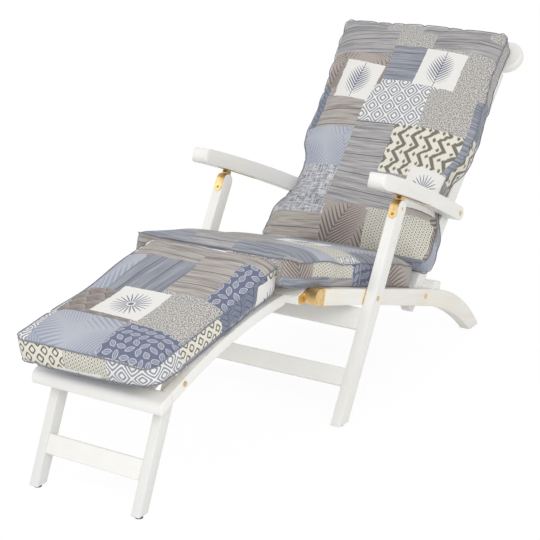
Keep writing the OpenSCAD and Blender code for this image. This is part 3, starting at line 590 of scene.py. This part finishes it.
# Where on the printed cloth the underside and the side band of a cushion are cut, next to its top, in metres
UNDERSIDE_CUT, SIDE_BAND_CUT = (3.0, 0.0), (1.3, -0.7)


def boxed_form(name, half, length, height, radius, crown, map_shift, cell=0.0095):
    """Closed boxed cushion in its own plane: X across, Y along, Z from its flat bottom. Returns it with the point
    numbers of its two seam rings.
    """
    reach = length / 2
    nx, ny, nz = max(8, round(2 * half / cell)), max(8, round(length / cell)), max(3, round(height / cell))
    form = bmesh.new()
    cloth_map = form.loops.layers.uv.new("cloth")

    def place(i, j, z):
        x, y = -half + 2 * half * i / nx, -reach + length * j / ny
        ring = max(abs(x) / half, abs(y) / reach)
        x, y = rounded_corner(x, y, half * ring, reach * ring, radius * ring ** 4)
        return Vector((x, y, z))

    def hump(p):
        a, b = min(1, abs(p.x) / half), min(1, abs(p.y) / reach)
        return crown * (1 - a ** 4) ** 0.5 * (1 - b ** 6) ** 0.5

    tops = [[form.verts.new(place(i, j, height)) for i in range(nx + 1)] for j in range(ny + 1)]
    lows = [[form.verts.new(place(i, j, 0)) for i in range(nx + 1)] for j in range(ny + 1)]
    edge = ([(i, 0) for i in range(nx)] + [(nx, j) for j in range(ny)]
            + [(i, ny) for i in range(nx, 0, -1)] + [(0, j) for j in range(ny, 0, -1)])
    around = [0.0]
    for k in range(len(edge)):
        a, b = edge[k], edge[(k + 1) % len(edge)]
        around.append(around[-1] + (lows[b[1]][b[0]].co - lows[a[1]][a[0]].co).length)
    rings = [[lows[j][i] for i, j in edge]]
    for k in range(1, nz):
        rings.append([form.verts.new(lows[j][i].co + Vector((0, 0, height * k / nz))) for i, j in edge])
    rings.append([tops[j][i] for i, j in edge])
    for row in tops:
        for vert in row:
            vert.co.z += hump(vert.co)

    def face(verts, spots, cut_from=(0.0, 0.0)):
        made = form.faces.new(verts)
        made.smooth = True
        for loop, spot in zip(made.loops, spots):
            loop[cloth_map].uv = [spot[axis] + cut_from[axis] + map_shift[axis] for axis in (0, 1)]

    for j in range(ny):
        for i in range(nx):
            quad = [(i, j), (i + 1, j), (i + 1, j + 1), (i, j + 1)]
            spots = [(-half + 2 * half * a / nx, -reach + length * b / ny) for a, b in quad]
            face([tops[b][a] for a, b in quad], spots)
            face([lows[b][a] for a, b in reversed(quad)], spots[::-1], UNDERSIDE_CUT)
    count = len(edge)
    for k in range(nz):
        low, high = height * k / nz, height * (k + 1) / nz
        for e in range(count):
            n = (e + 1) % count
            here, there = around[e], around[e + 1]
            face([rings[k][e], rings[k][n], rings[k + 1][n], rings[k + 1][e]],
                 [(here, low), (there, low), (there, high), (here, high)], SIDE_BAND_CUT)
    mesh = bpy.data.meshes.new(name)
    form.verts.index_update()
    seams = [[v.index for v in rings[0]], [v.index for v in rings[-1]]]
    form.to_mesh(mesh)
    form.free()
    return mesh_object(name, mesh, patch_cloth), seams


FILL_FRAMES = 20


def swell(piece, seams, pressure, cap, grow=-0.02, hold=0.35):
    """Fills the cushion by cloth simulation, with the seams held lightly, and caps how far a point may move."""
    points = len(piece.data.vertices)
    rest = np.empty(points * 3)
    piece.data.vertices.foreach_get("co", rest)
    rest = rest.reshape(-1, 3)
    group = piece.vertex_groups.new(name="held")
    group.add([v for seam in seams for v in seam], hold, "REPLACE")
    sim = piece.modifiers.new("fill", "CLOTH")
    kit = sim.settings
    kit.quality = 6
    kit.mass = 0.3
    kit.tension_stiffness = kit.compression_stiffness = 18
    kit.shear_stiffness = 8
    kit.bending_stiffness = 0.6
    kit.vertex_group_mass = "held"
    kit.use_pressure = True
    kit.uniform_pressure_force = pressure
    kit.shrink_min = grow
    kit.effector_weights.gravity = 0
    sim.collision_settings.use_collision = False
    scene = bpy.context.scene
    for frame_number in range(1, FILL_FRAMES + 1):
        scene.frame_set(frame_number)
    applied(piece)
    scene.frame_set(1)
    piece.vertex_groups.clear()
    moved = np.empty(points * 3)
    piece.data.vertices.foreach_get("co", moved)
    shift = moved.reshape(-1, 3) - rest
    far = np.linalg.norm(shift, axis=1, keepdims=True)
    shift *= cap * np.tanh(far / cap) / np.maximum(far, 1e-9)
    return rest + shift


def finished_cushion(piece, seams, points, shape, plane, centre):
    """Gives the swollen points their last shape, sets them in place and returns the two seam lines."""
    points = shape(points)
    home = plane.matrix() @ Matrix.Translation(Vector((0, centre[0], centre[1])))
    turn, origin = np.array(home.to_3x3()), np.array(home.translation)
    placed = points @ turn.T + origin
    piece.data.vertices.foreach_set("co", placed.ravel())
    piece.data.update()
    finer = piece.modifiers.new("finer", "SUBSURF")
    finer.levels = finer.render_levels = 1
    applied(piece)
    return [placed[seam] for seam in seams]


# Yarn of the piping: turn from one bead to the next and slant, in radians, and size of a bead in cord radii
YARN_TWIST, YARN_SLANT, BEAD_SHAPE = 1.1, 0.75, (1.12, 0.5, 0.8)


def cord_tree():
    """Twisted piping: a thin core along a line, with slanting turns of a second yarn laid over it."""
    tree = bpy.data.node_groups.new("twisted_piping", "GeometryNodeTree")
    ports = tree.interface
    ports.new_socket("Line", in_out="INPUT", socket_type="NodeSocketGeometry")
    for name, value in (("Pitch", 0.0048), ("Radius", 0.0015)):
        ports.new_socket(name, in_out="INPUT", socket_type="NodeSocketFloat").default_value = value
    for name in ("Core", "Yarn"):
        ports.new_socket(name, in_out="INPUT", socket_type="NodeSocketMaterial")
    ports.new_socket("Piping", in_out="OUTPUT", socket_type="NodeSocketGeometry")
    nodes, links = tree.nodes, tree.links

    def add(kind, **inputs):
        made = nodes.new(kind)
        for socket, value in inputs.items():
            target = made.inputs[socket.replace("_", " ")]
            if isinstance(value, bpy.types.NodeSocket):
                links.new(value, target)
            else:
                target.default_value = value
        return made

    start, end = nodes.new("NodeGroupInput"), nodes.new("NodeGroupOutput")
    curve = add("GeometryNodeMeshToCurve", Mesh=start.outputs["Line"])
    even = nodes.new("GeometryNodeResampleCurve")
    even.mode = "LENGTH"
    links.new(curve.outputs[0], even.inputs["Curve"])
    links.new(start.outputs["Pitch"], even.inputs["Length"])
    ring = add("GeometryNodeCurvePrimitiveCircle", Resolution=6)
    links.new(start.outputs["Radius"], ring.inputs["Radius"])
    core = add("GeometryNodeCurveToMesh", Curve=even.outputs[0], Profile_Curve=ring.outputs[0])
    smooth = add("GeometryNodeSetShadeSmooth", Geometry=core.outputs[0])
    core_set = add("GeometryNodeSetMaterial", Geometry=smooth.outputs[0])
    links.new(start.outputs["Core"], core_set.inputs["Material"])
    bead = add("GeometryNodeMeshUVSphere", Segments=6, Rings=4, Radius=1.0)
    tangent = nodes.new("GeometryNodeInputTangent")
    facing = nodes.new("FunctionNodeAlignRotationToVector")
    facing.axis = "Z"
    links.new(tangent.outputs[0], facing.inputs["Vector"])
    index = nodes.new("GeometryNodeInputIndex")
    spin = nodes.new("ShaderNodeMath")
    spin.operation = "MULTIPLY"
    spin.inputs[1].default_value = YARN_TWIST
    links.new(index.outputs[0], spin.inputs[0])
    turn = nodes.new("ShaderNodeCombineXYZ")
    turn.inputs[0].default_value = YARN_SLANT
    links.new(spin.outputs[0], turn.inputs[2])
    euler = nodes.new("FunctionNodeEulerToRotation")
    links.new(turn.outputs[0], euler.inputs[0])
    rotate = nodes.new("FunctionNodeRotateRotation")
    rotate.rotation_space = "LOCAL"
    links.new(facing.outputs[0], rotate.inputs[0])
    links.new(euler.outputs[0], rotate.inputs[1])
    size = nodes.new("ShaderNodeCombineXYZ")
    for i, share in enumerate(BEAD_SHAPE):
        scaled = nodes.new("ShaderNodeMath")
        scaled.operation = "MULTIPLY"
        scaled.inputs[1].default_value = share
        links.new(start.outputs["Radius"], scaled.inputs[0])
        links.new(scaled.outputs[0], size.inputs[i])
    laid = add("GeometryNodeInstanceOnPoints", Points=even.outputs[0], Instance=bead.outputs[0])
    links.new(rotate.outputs[0], laid.inputs["Rotation"])
    links.new(size.outputs[0], laid.inputs["Scale"])
    real = add("GeometryNodeRealizeInstances", Geometry=laid.outputs[0])
    soft = add("GeometryNodeSetShadeSmooth", Geometry=real.outputs[0])
    yarn_set = add("GeometryNodeSetMaterial", Geometry=soft.outputs[0])
    links.new(start.outputs["Yarn"], yarn_set.inputs["Material"])
    joined = nodes.new("GeometryNodeJoinGeometry")
    links.new(core_set.outputs[0], joined.inputs[0])
    links.new(yarn_set.outputs[0], joined.inputs[0])
    links.new(joined.outputs[0], end.inputs[0])
    return tree


twisted = cord_tree()


def worked(piece, tree, **inputs):
    """Runs a Geometry Nodes tree on a piece and leaves a plain mesh."""
    maker = piece.modifiers.new("maker", "NODES")
    maker.node_group = tree
    sockets = {item.name: item.identifier for item in tree.interface.items_tree
               if item.item_type == "SOCKET" and item.in_out == "INPUT"}
    for name, value in inputs.items():
        maker[sockets[name]] = value
    return applied(piece)


def piping(name, lines):
    """Twisted piping along closed seam lines."""
    mesh = bpy.data.meshes.new(name)
    points, edges = [], []
    for line in lines:
        first, count = len(points), len(line)
        points += [tuple(p) for p in line]
        edges += [(first + i, first + (i + 1) % count) for i in range(count)]
    mesh.from_pydata(points, edges, [])
    return worked(mesh_object(name, mesh), twisted, Core=cord_dark, Yarn=cord_light)


def pushed_out(line, plane, distance):
    """A seam line moved a little outward in its own plane."""
    middle = line.mean(axis=0)
    ahead, behind = np.roll(line, -1, axis=0), np.roll(line, 1, axis=0)
    tangent = ahead - behind
    up = np.array(plane.up)
    outward = np.cross(tangent, up)
    outward /= np.maximum(np.linalg.norm(outward, axis=1, keepdims=True), 1e-9)
    flip = np.sign(np.sum(outward * (line - middle), axis=1).mean())
    return line + outward * flip * distance


def bell(value, centre, reach, power=2):
    """1 at the centre, falling to nearly 0 at twice the reach. Higher powers have a flatter top."""
    return np.exp(-np.abs((value - centre) / reach) ** power)


def back_shape(p):
    """Drawn in between the arms, wavy along its edges, rolled over and slipped towards the sitter's right."""
    half, reach, height = 0.268, 0.399, 0.062
    arm_place, arm_reach, far_draw, near_draw = -0.172, 0.092, 0.040, 0.036
    x, y, z = p[:, 0].copy(), p[:, 1].copy(), p[:, 2].copy()
    side = np.clip(np.abs(x) / half, 0, 1) ** 3
    deep, high = np.clip(1 - z / height, 0, 1), np.clip(y / reach, 0, 1.02)
    waist = bell(y, arm_place, arm_reach, 4) * np.where(x < 0, far_draw, near_draw)
    wave = 0.0014 * np.sin(y * 61.0 + np.sign(x) * 1.3) + 0.0010 * np.sin(y * 113.0 + 0.7)
    far_roll = -0.004 - 0.008 * high - deep * (0.022 - 0.010 * high)
    near_roll = 0.008 * deep - 0.002 + 0.006 * bell(y, 0.25, 0.06) - 0.006 * bell(y, 0.02, 0.06)
    slip = 0.005 + 0.020 * high ** 2
    x -= np.sign(x) * side * (waist + wave + np.where(x < 0, far_roll, near_roll)) + slip
    top_corner_sag = 0.008 * np.clip(x / 0.25, 0, 1) * high ** 8
    y -= top_corner_sag
    z += 0.004 * np.sin(y * 17.0 + 0.5) * np.cos(x * 9.0) * np.clip(z / 0.06, 0, 1)
    return np.stack([x, y, np.maximum(z, 0.0)], axis=1)


def seat_shape(p):
    """Pressed in at the front by the leg cushion, pushed back under the back cushion, hollow where one sits."""
    half, front_start, front_run, rear_start, rear_run = 0.236, -0.16, 0.185, 0.25, 0.095
    press, press_half, skew, push, hollow = 0.040, 0.218, 0.012, 0.016, 0.006
    x, y, z = p[:, 0].copy(), p[:, 1].copy(), p[:, 2].copy()
    top = np.clip(z / 0.06, 0, 1)
    side = np.clip(np.abs(x) / 0.23, 0, 1)
    front = np.clip((front_start - y) / front_run, 0, 1)
    rear = np.clip((y - rear_start) / rear_run, 0, 1)
    y += front * (press * bell(x, 0, press_half, 16) - skew * x / half) + push * rear
    z -= top * hollow * bell(x, 0, 0.16) * bell(y, 0.05, 0.2)
    z += top * 0.003 * np.sin(y * 31.0) * side ** 2
    x += 0.0025 * np.sin(y * 43.0 + np.sign(x)) * side ** 3
    return np.stack([x, y, np.maximum(z, 0.0)], axis=1)


def leg_shape(p):
    """Crisp box with a gently rolling top, a full underside and a head that slopes back to the seat cushion."""
    half, reach, height, fullness, slip = 0.198, 0.256, 0.057, 0.016, 0.003
    head_slope, sag, pinch, far_pinch = 26.3, 0.009, 0.017, 0.5
    x, y, z = p[:, 0].copy(), p[:, 1].copy(), p[:, 2].copy()
    y += z * math.tan(math.radians(head_slope)) * np.clip(y / 0.25, 0, 1)
    z += (0.0015 * np.sin(y * 29.0 + x * 11.0) - sag * bell(y, 0.0, 0.15)) * np.clip(z / 0.06, 0, 1)
    belly = fullness * bell(y, 0, 0.225, 6) * bell(x, 0, 0.165, 6)
    low = np.clip(1 - z / 0.03, 0, 1)
    foot_end_hang = (0.022 * x - 0.002) * np.clip(-y / reach, 0, 1) ** 4
    z = z + fullness + low * (foot_end_hang - belly)
    corner = bell(np.abs(x), half, 0.07) * bell(y, -reach, 0.06)
    z += corner * (0.0105 - pinch * np.clip((z - fullness) / height, 0, 1)) * np.where(x > 0, 1.0, far_pinch)
    return np.stack([x - slip, y, np.maximum(z, 0.0)], axis=1)


# Node, body, plane, half width, length, height of the boxed side, place of the middle along and above the plane,
# radius of the corners, crown, last shape, and where on the printed cloth the cushion is cut
cushions = (
    ("back_cushion", "back", back, 0.270, 0.798, 0.062, (0.457, 0.0236), 0.020, 0.027, back_shape, (1.47, 0.91)),
    ("seat_cushion", "seat", seat, 0.236, 0.690, 0.062, (-0.0456, 0.0200), 0.034, 0.010, seat_shape, (2.02, 1.31)),
    ("leg_cushion", "leg_rest", pad, 0.198, 0.512, 0.057, (-0.3339, 0.0330), 0.034, 0.010, leg_shape, (1.63, 2.17)),
)
CLOTH_INSET = 0.001     # the unfilled cloth lies this far inside the cushion's outline
PIPING_STANDS_OUT = 0.0012
for node, body, plane, half, length, height, centre, radius, crown, shape, shift in cushions:
    cloth_half, cloth_length = half - CLOTH_INSET, length - 2 * CLOTH_INSET
    piece, seams = boxed_form(node + "_cloth", cloth_half, cloth_length, height, radius, crown, shift)
    points = swell(piece, seams, pressure=4.0, cap=0.022)
    lines = finished_cushion(piece, seams, points, shape, plane, centre)
    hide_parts(node)
    trim = piping(node + "_piping", [pushed_out(line, plane, PIPING_STANDS_OUT) for line in lines])
    for part in (piece, trim):
        if body == "seat":
            plane.at(0, -0.235, 0.0)
            plane.at(0, -0.30, 0.0)
            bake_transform(part)
            continue
        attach(part, body)
        plane.at(0, *centre)
        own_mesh(part)


# Floor, light and camera

SKY_LIGHT = 0.82
# Name, place in metres, diameter in metres and power in watts
LAMPS = (("key", (3.2, -3.2, 2.6), 2.2, 62.0),
         ("left", (-2.6, -2.4, 2.6), 2.6, 18.0),
         ("front", (0.6, -4.4, 0.9), 2.6, 6.0))
LAMP_AIM = Vector((0, 0, 0.4))
FLOOR_HALF = 30


def seen_directly(shader):
    """1 where the camera, a mirror or clear matter looks at a surface, 0 for the light that falls on things."""
    path = shader.node("ShaderNodeLightPath")
    rays = [Field(shader, path.outputs["Is " + kind + " Ray"]) for kind in ("Camera", "Glossy", "Transmission")]
    return shader.math("MINIMUM", rays[0] + rays[1] + rays[2], 1.0)


def white_floor(glow_strength=1.045, glow_share=0.88):
    """White ground: a plain matt floor for the light, nearly self-white for the camera, with a faint shadow."""
    s = Shader("floor_white", Base_Color=paint("#e6e6e6"), Roughness=0.9, Specular_IOR_Level=0.1)
    glow = s.node("ShaderNodeEmission")
    glow.inputs["Strength"].default_value = glow_strength
    share = s.node("ShaderNodeMixShader")
    s.feed(share.inputs[0], seen_directly(s) * glow_share)
    s.tree.links.new(s.surface.outputs[0], share.inputs[1])
    s.tree.links.new(glow.outputs[0], share.inputs[2])
    s.tree.links.new(share.outputs[0], s.output.inputs[0])
    return s.material


def studio():
    """White floor, an evenly bright room and three soft round lamps."""
    floor_mesh = bpy.data.meshes.new("floor")
    corners = [(x * FLOOR_HALF, y * FLOOR_HALF, 0) for x, y in ((-1, -1), (1, -1), (1, 1), (-1, 1))]
    floor_mesh.from_pydata(corners, [], [(0, 1, 2, 3)])
    mesh_object("floor", floor_mesh, white_floor())

    world = bpy.data.worlds.new("studio")
    bpy.context.scene.world = world
    world.use_nodes = True
    tree = world.node_tree
    tree.nodes.clear()
    path = tree.nodes.new("ShaderNodeLightPath")
    seen = tree.nodes.new("ShaderNodeMath")
    seen.operation = "MAXIMUM"
    tree.links.new(path.outputs["Is Camera Ray"], seen.inputs[0])
    tree.links.new(path.outputs["Is Transmission Ray"], seen.inputs[1])
    soft, white = tree.nodes.new("ShaderNodeBackground"), tree.nodes.new("ShaderNodeBackground")
    for sky, strength in ((soft, SKY_LIGHT), (white, 1.0)):
        sky.inputs["Color"].default_value = (1, 1, 1, 1)
        sky.inputs["Strength"].default_value = strength
    blend = tree.nodes.new("ShaderNodeMixShader")
    tree.links.new(seen.outputs[0], blend.inputs[0])
    tree.links.new(soft.outputs[0], blend.inputs[1])
    tree.links.new(white.outputs[0], blend.inputs[2])
    tree.links.new(blend.outputs[0], tree.nodes.new("ShaderNodeOutputWorld").inputs[0])

    for name, spot, size, power in LAMPS:
        lamp = bpy.data.lights.new(name, "AREA")
        lamp.shape = "DISK"
        lamp.size = size
        lamp.energy = power
        holder = bpy.data.objects.new(name, lamp)
        holder.location = spot
        holder.rotation_euler = (LAMP_AIM - Vector(spot)).to_track_quat("-Z", "Y").to_euler()
        bpy.context.scene.collection.objects.link(holder)


def camera():
    """Stands to the right of the foot end and looks a little down, as in the photo."""
    eye = Vector((1.9426, pivots["front_legs_fold"].y - 3.1155, 1.4936))
    turn, dip, roll = math.radians(32.5), math.radians(17.63), math.radians(-0.2)
    sensor, focal_length_in_picture_widths = 36.0, 1429.0 / 540.0
    lens = bpy.data.cameras.new("camera")
    lens.sensor_width = sensor
    lens.lens = focal_length_in_picture_widths * sensor
    holder = bpy.data.objects.new("camera", lens)
    holder.matrix_world = (Matrix.Translation(eye) @ Matrix.Rotation(turn, 4, "Z")
                           @ Matrix.Rotation(math.pi / 2 - dip, 4, "X") @ Matrix.Rotation(roll, 4, "Z"))
    bpy.context.scene.collection.objects.link(holder)
    bpy.context.scene.camera = holder


studio()
camera()
bpy.context.scene.view_settings.view_transform = "Standard"
